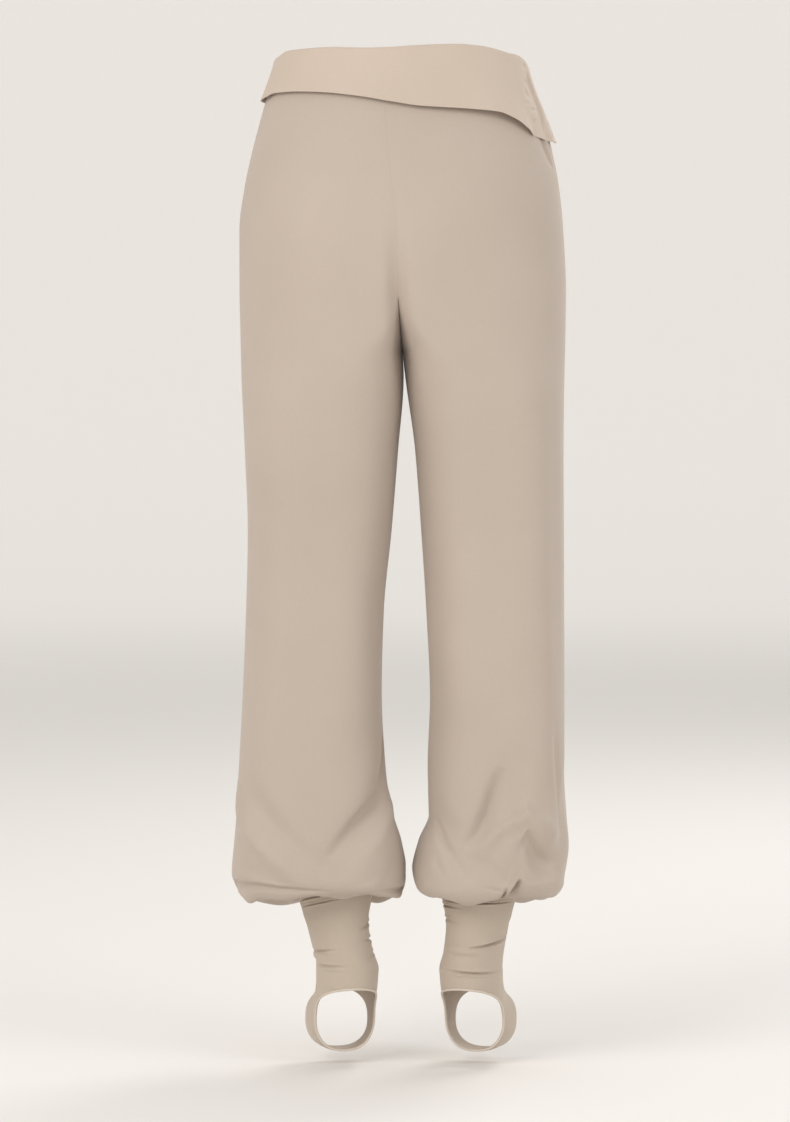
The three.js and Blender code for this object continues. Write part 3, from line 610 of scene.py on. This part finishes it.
# Meshes and materials
def wall_mesh(name, face, back, chart, materials, closed=None, rims=None):
    """A thin closed wall over a grid: face, underside and edges, with its cloth chart and any rolled rims."""
    rows, cols = face.shape[:2]
    ids = np.arange(rows * cols).reshape(rows, cols)
    if closed is not None:
        ids[closed, -1] = ids[closed, 0]
    used, compact = np.unique(ids, return_inverse=True)
    compact = compact.reshape(rows, cols)
    outer, inner = face.reshape(-1, 3)[used], back.reshape(-1, 3)[used]
    count = len(outer)
    corners = lambda grid: [grid[:-1, :-1], grid[:-1, 1:], grid[1:, 1:], grid[1:, :-1]]
    front = np.stack([part.ravel() for part in corners(compact)], 1)
    places = np.stack([part.reshape(-1, 2) for part in corners(chart)], 1)
    under = front[:, [0, 3, 2, 1]] + count
    edges = np.concatenate([front[:, [k, (k + 1) % 4]] for k in range(4)])
    spots = np.concatenate([places[:, [k, (k + 1) % 4]] for k in range(4)])
    key = edges[:, 0].astype(np.int64) * count + edges[:, 1]
    twin = edges[:, 1].astype(np.int64) * count + edges[:, 0]
    lone = ~np.isin(key, twin)
    free, spot = edges[lone], spots[lone]
    rim = np.stack([free[:, 1], free[:, 0], free[:, 0] + count, free[:, 1] + count], 1)
    faces = np.concatenate([front, under, rim])
    verts = np.concatenate([outer, inner]) * MM
    uvs = np.concatenate([places, places[:, [0, 3, 2, 1]], spot[:, [1, 0, 0, 1]]])
    v, w, x, y = (verts[faces[:, k]] for k in range(4))
    volume = (np.einsum("ij,ij->i", v, np.cross(w, x)) + np.einsum("ij,ij->i", v, np.cross(x, y))).sum() / 6
    if volume < 0:
        faces, uvs = faces[:, ::-1], uvs[:, ::-1]
    slots = np.zeros(len(faces), int)
    if rims is not None:
        more, more_faces = rims
        faces = np.concatenate([faces, more_faces + len(verts)])
        verts = np.concatenate([verts, more * MM])
        uvs = np.concatenate([uvs, np.zeros((len(more_faces), 4, 2))])
        slots = np.concatenate([slots, np.ones(len(more_faces), int)])
    mesh = bpy.data.meshes.new(name)
    mesh.from_pydata(verts.tolist(), [], faces.tolist())
    mesh.uv_layers.new(name="cloth").uv.foreach_set("vector", uvs.reshape(-1))
    mesh.polygons.foreach_set("use_smooth", np.ones(len(faces), bool))
    mesh.polygons.foreach_set("material_index", slots)
    for material in materials:
        mesh.materials.append(material)
    mesh.validate()
    mesh.update()
    mesh.set_sharp_from_angle(angle=SHARP)
    piece = bpy.data.objects.new(name, mesh)
    bpy.context.scene.collection.objects.link(piece)
    return piece


def tube(paths, radius, sides=8):
    """Round rims along closed paths of points."""
    verts, faces, base = [], [], 0
    for path in paths:
        count = len(path)
        along = unit(np.roll(path, -1, 0) - np.roll(path, 1, 0))
        middle = path.mean(0)
        across = unit(np.cross(along, path - middle))
        other = np.cross(along, across)
        turns = np.linspace(0, 2 * math.pi, sides, endpoint=False)
        ring = path[:, None] + radius * (np.cos(turns)[None, :, None] * across[:, None]
                                         + np.sin(turns)[None, :, None] * other[:, None])
        verts.append(ring.reshape(-1, 3))
        i, k = np.meshgrid(np.arange(count), np.arange(sides), indexing="ij")
        at = lambda a, b: (a % count) * sides + b % sides + base
        faces.append(np.stack([at(i, k), at(i, k + 1), at(i + 1, k + 1), at(i + 1, k)], -1).reshape(-1, 4))
        base += count * sides
    return np.concatenate(verts), np.concatenate(faces)


WAVE_SPACING = 0.314  # metres between the bands of a wave texture at scale 1


def jersey(name, colour, wale, course, relief):
    """Smooth stretch knit: wales and courses as fine relief, a faint melange, and a soft sheen."""
    material = bpy.data.materials.new(name)
    material.use_nodes = True
    nodes, links = material.node_tree.nodes, material.node_tree.links
    shader = nodes["Principled BSDF"]
    shader.inputs["Sheen Weight"].default_value = 0.22
    shader.inputs["Sheen Roughness"].default_value = 0.45
    shader.inputs["Sheen Tint"].default_value = (1, 0.97, 0.94, 1)
    shader.inputs["Specular IOR Level"].default_value = 0.22
    chart = nodes.new("ShaderNodeUVMap")
    chart.uv_map = "cloth"

    def wave(direction, spacing, warp):
        node = nodes.new("ShaderNodeTexWave")
        node.bands_direction = direction
        node.inputs["Scale"].default_value = WAVE_SPACING / spacing
        node.inputs["Distortion"].default_value = warp
        node.inputs["Detail"].default_value = 1
        node.inputs["Detail Scale"].default_value = 0.4
        links.new(chart.outputs["UV"], node.inputs["Vector"])
        return node

    def math_node(operation, first, second):
        node = nodes.new("ShaderNodeMath")
        node.operation = operation
        for socket, value in zip(node.inputs, (first, second)):
            if isinstance(value, (int, float)):
                socket.default_value = value
            else:
                links.new(value, socket)
        return node.outputs[0]

    def noise(scale, detail):
        node = nodes.new("ShaderNodeTexNoise")
        node.inputs["Scale"].default_value = scale
        node.inputs["Detail"].default_value = detail
        place = nodes.new("ShaderNodeTexCoord")
        links.new(place.outputs["Object"], node.inputs["Vector"])
        return node.outputs["Fac"]

    wales, courses = wave("X", wale, 0.6), wave("Y", course, 0.9)
    stitches = math_node("MULTIPLY", wales.outputs["Fac"], courses.outputs["Fac"])
    bump = nodes.new("ShaderNodeBump")
    bump.inputs["Strength"].default_value = relief
    bump.inputs["Distance"].default_value = 0.0002
    links.new(math_node("ADD", stitches, math_node("MULTIPLY", noise(900, 2), 0.5)), bump.inputs["Height"])
    links.new(bump.outputs["Normal"], shader.inputs["Normal"])
    broad, fine = math_node("MULTIPLY", noise(7, 2), 0.7), math_node("MULTIPLY", noise(420, 3), 0.3)
    cloud = math_node("ADD", broad, fine)
    ramp = nodes.new("ShaderNodeMapRange")
    ramp.inputs["From Min"].default_value = 0.35
    ramp.inputs["From Max"].default_value = 0.65
    links.new(cloud, ramp.inputs["Value"])
    tint = nodes.new("ShaderNodeMix")
    tint.data_type = "RGBA"
    links.new(ramp.outputs["Result"], tint.inputs["Factor"])
    tint.inputs[6].default_value = (colour[0] * 0.965, colour[1] * 0.963, colour[2] * 0.96, 1)
    tint.inputs[7].default_value = (colour[0] * 1.03, colour[1] * 1.03, colour[2] * 1.035, 1)
    links.new(tint.outputs[2], shader.inputs["Base Color"])
    rough = nodes.new("ShaderNodeMapRange")
    rough.inputs["To Min"].default_value = 0.76
    rough.inputs["To Max"].default_value = 0.9
    links.new(noise(60, 2), rough.inputs["Value"])
    links.new(rough.outputs["Result"], shader.inputs["Roughness"])
    return material


def linear(red, green, blue):
    """A screen colour, out of 255, as the linear values that shaders take."""
    curve = lambda v: v / 12.92 if v <= 0.04045 else ((v + 0.055) / 1.055) ** 2.4
    return tuple(curve(v / 255) for v in (red, green, blue))


LEG = jersey("leg_cloth", linear(183.5, 170, 157.5), wale=0.0011, course=0.0008, relief=0.25)
# Painted light: the waistband is the legs' jersey, coloured lighter to stand in for the light falling from
# above on the upper back.
BAND_PAINTED_LIGHT = jersey("band_cloth_painted_light", linear(195, 179.5, 165), wale=0.0011, course=0.0008, relief=0.25)
# Painted light: the cuffs' jersey is coloured a little lighter than the legs' to lift the shade that the
# hem's balloon casts on them.
CUFF_PAINTED_LIGHT = jersey("cuff_cloth", linear(187, 173, 158), wale=0.0013, course=0.0009, relief=0.3)
EDGE = jersey("edge_cloth", linear(208, 196, 182), wale=0.0009, course=0.0009, relief=0.3)


# Pieces. Rows and columns lie closer where the cloth is folded.
def spaced(*runs):
    """Places from runs of (start, end, step), each end kept once."""
    parts = []
    for start, end, step in runs:
        count = max(int(round(abs(end - start) / step)), 1)
        parts.append(np.linspace(start, end, count + 1)[:-1])
    return np.concatenate(parts + [np.array([runs[-1][1]])])


PANEL_ROWS = spaced((TOP_ROW, 84, 5), (84, 116, 1.6), (116, 230, 5), (230, 348, 2.5), (348, LOW_FADE, 6),
                    (LOW_FADE, ROLL_ROW, 1.6), (ROLL_ROW, ROLL_ROW + UNDER_ROWS, 1.5))
PANEL_SHARES = {
    "left_back": np.linspace(0, 1, 121),
    "right_back": spaced((0, 0.1, 0.0085), (0.1, 0.18, 0.004), (0.18, 0.36, 0.0085), (0.36, 0.45, 0.005),
                         (0.45, 1, 0.0088)),
    "left_front": np.linspace(0, 1, 101),
    "right_front": np.linspace(0, 1, 101),
}
BAND_ROWS = spaced((0, 1, 0.1), (1, 2, 0.08), (2, 3, 0.02))
BANDS = {
    "back_waistband": (0, 180, spaced((0, 0.84, 0.0045), (0.84, 1, 0.0021))),
    "front_waistband": (180, 360, spaced((0, 1, 0.0045))),
}
LAST_RING = len(RINGS) - 1
CUFF_COLUMNS = 125
ROWS_ABOVE_HEEL, ROWS_BESIDE_HEEL, ROWS_BELOW_HEEL = 150, 33, 30
HEEL_EDGE_STEPS, INSTEP_EDGE_STEPS = 90, 120


def chart_of(shares, heights, width):
    """The cloth's own coordinates over a grid, in metres."""
    return np.stack(np.meshgrid(shares * width * MM, -heights * MM), -1)


def panel_piece(side, face):
    shares = PANEL_SHARES[f"{side}_{face}"]
    points, sign = panel_points(side, face, shares, PANEL_ROWS)
    inside = points - CLOTH * grid_normals(points, sign)
    chart = chart_of(shares, PANEL_ROWS, CHART_WIDTH)
    return wall_mesh(f"{side}_{face}_leg_cloth", points, inside, chart, [LEG])


def band_piece(name, start, end, shares):
    outer, inner = (band_points(start, end, shares, BAND_ROWS, which) for which in (True, False))
    chart = chart_of(shares, BAND_ROWS * BAND_LENGTH / 3, BAND_WIDTH)
    return wall_mesh(name + "_cloth", outer, inner, chart, [BAND_PAINTED_LIGHT])


def cuff_rims(side):
    """The rolled edges round a cuff's heel opening and over its instep."""
    around = HEEL_MIDDLE + HEEL_HALF * np.sin(np.radians(np.linspace(-90, 90, HEEL_EDGE_STEPS)))
    down, up = (cuff_points(side, np.full(HEEL_EDGE_STEPS, place), around) for place in (0.0, 1.0))
    heel = np.concatenate([down[:-1], up[::-1][:-1]])
    round_instep = np.linspace(0, 1, INSTEP_EDGE_STEPS, endpoint=False)
    instep = cuff_points(side, round_instep, np.full(INSTEP_EDGE_STEPS, float(LAST_RING)))
    instep = instep - unit(instep - instep.mean(0)) * CLOTH / 2
    return tube([heel, instep], RIM)


def cuff_piece(side):
    shares = np.linspace(0, 1, CUFF_COLUMNS)
    beside = HEEL_HALF * np.sin(np.radians(np.linspace(-90, 90, ROWS_BESIDE_HEEL)))
    rings = np.concatenate([np.linspace(0, HEEL_FROM, ROWS_ABOVE_HEEL)[:-1], HEEL_MIDDLE + beside,
                            np.linspace(HEEL_TO, LAST_RING, ROWS_BELOW_HEEL)[1:]])
    points = cuff_points(side, *np.meshgrid(shares, rings))
    closed = np.abs(rings - HEEL_MIDDLE) >= HEEL_HALF - 1e-6
    sign = 1 if side == "left" else -1
    normals = grid_normals(points, sign)
    across = (points[:, 1] - points[:, -2])[closed]
    down = np.gradient(points, axis=0)[closed][:, 0]
    seam_normal = unit(np.cross(across, down)) * sign
    normals[closed, 0] = seam_normal
    normals[closed, -1] = seam_normal
    chart = chart_of(shares, rings * RING_HEIGHT, CUFF_WIDTH)
    inside = points - CLOTH * normals
    name = f"{side}_stirrup_cuff_cloth"
    return wall_mesh(name, points, inside, chart, [CUFF_PAINTED_LIGHT, EDGE], closed, cuff_rims(side))


pieces = {}
for side in ("left", "right"):
    for face in ("back", "front"):
        pieces[f"{side}_{face}_leg"] = panel_piece(side, face)
for name, (start, end, shares) in BANDS.items():
    pieces[name] = band_piece(name, start, end, shares)
for side in ("left", "right"):
    pieces[f"{side}_stirrup_cuff"] = cuff_piece(side)


# Stage, light and camera, in metres: a round studio that stands clear of every view
FLOOR_LEVEL = -(SOLE + FLOOR_DROP) * MM
FLOOR_RINGS = [1.5, 3, 4.5, 6]
FLOOR_RADIUS, COVE, WALL_HEIGHT = 7.5, 2.5, 3.6
COVE_STEPS, AROUND = 20, 96
GLOW = (3.5, 9, 0.17)  # the far paper is lit softly: from and to a distance, and how much
LIGHT_AIM = (0, 0, -0.5)
LIGHTS = table("name place size power colour", [
    ("key", (2.0, 3.1, 1.6), 1.8, 57, (1, 0.985, 0.965)),
    ("side", (3.2, 1.9, 0.6), 1.4, 15, (1, 0.99, 0.97)),
    ("fill", (-2.4, 2.2, 0.9), 1.4, 25, (0.93, 0.97, 1)),
    ("front", (-1.7, -2.3, 1.6), 1.6, 38, (1, 0.99, 0.975)),
])
CAMERA_PLACE, CAMERA_AIM = (0.00735, 4.5941, -0.2913), (0.00735, 0, -0.524)
CAMERA_LENS = 140.57


def studio_paper():
    """Pale paper that glows a little with distance from the middle."""
    paper = bpy.data.materials.new("paper")
    paper.use_nodes = True
    nodes, links = paper.node_tree.nodes, paper.node_tree.links
    shader = nodes["Principled BSDF"]
    shader.inputs["Base Color"].default_value = (*linear(236, 233, 229), 1)
    shader.inputs["Roughness"].default_value = 0.9
    shader.inputs["Emission Color"].default_value = (1, 0.985, 0.965, 1)
    place = nodes.new("ShaderNodeTexCoord")
    distance = nodes.new("ShaderNodeVectorMath")
    distance.operation = "LENGTH"
    glow = nodes.new("ShaderNodeMapRange")
    glow.interpolation_type = "SMOOTHSTEP"
    for socket, value in zip(("From Min", "From Max", "To Max"), GLOW):
        glow.inputs[socket].default_value = value
    links.new(place.outputs["Object"], distance.inputs[0])
    links.new(distance.outputs["Value"], glow.inputs["Value"])
    links.new(glow.outputs["Result"], shader.inputs["Emission Strength"])
    return paper


def studio_floor():
    """A round floor that curves up into its wall."""
    bend = np.linspace(0, math.pi / 2, COVE_STEPS)
    radii = np.concatenate([FLOOR_RINGS, FLOOR_RADIUS + COVE * np.sin(bend), [FLOOR_RADIUS + COVE]])
    rises = np.concatenate([np.zeros(len(FLOOR_RINGS)), COVE * (1 - np.cos(bend)), [WALL_HEIGHT]])
    verts = [(0, 0, FLOOR_LEVEL)]
    faces = []
    for ring, (radius, rise) in enumerate(zip(radii, rises)):
        for step in range(AROUND):
            angle = 2 * math.pi * step / AROUND
            verts.append((radius * math.cos(angle), radius * math.sin(angle), FLOOR_LEVEL + rise))
            here, there = 1 + ring * AROUND + step, 1 + ring * AROUND + (step + 1) % AROUND
            faces.append((0, here, there) if ring == 0 else (here - AROUND, here, there, there - AROUND))
    mesh = bpy.data.meshes.new("floor")
    mesh.from_pydata(verts, [], faces)
    mesh.polygons.foreach_set("use_smooth", [True] * len(faces))
    mesh.materials.append(studio_paper())
    floor = bpy.data.objects.new("floor", mesh)
    bpy.context.scene.collection.objects.link(floor)
    return floor


def set_up(thing, place, aim):
    """Puts a light or the camera in its place, facing its aim."""
    thing.location = place
    thing.rotation_euler = (Vector(aim) - Vector(place)).to_track_quat("-Z", "Y").to_euler()
    bpy.context.scene.collection.objects.link(thing)


floor = studio_floor()

world = bpy.data.worlds.new("studio")
bpy.context.scene.world = world
world.use_nodes = True
world.node_tree.nodes["Background"].inputs["Color"].default_value = (1.0, 0.985, 0.965, 1)
world.node_tree.nodes["Background"].inputs["Strength"].default_value = 0.68

for light in LIGHTS:
    lamp = bpy.data.lights.new(light["name"], "AREA")
    lamp.size = light["size"]
    lamp.energy = light["power"]
    lamp.color = light["colour"]
    set_up(bpy.data.objects.new(light["name"], lamp), light["place"], LIGHT_AIM)

lens = bpy.data.cameras.new("camera")
lens.lens = CAMERA_LENS
lens.sensor_width = 36
lens.sensor_fit = "AUTO"
lens.clip_end = 60
camera = bpy.data.objects.new("camera", lens)
set_up(camera, CAMERA_PLACE, CAMERA_AIM)
bpy.context.scene.camera = camera
bpy.context.scene.view_settings.view_transform = "Standard"


for node, piece in pieces.items():
    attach(piece, "root")
    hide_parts(node)
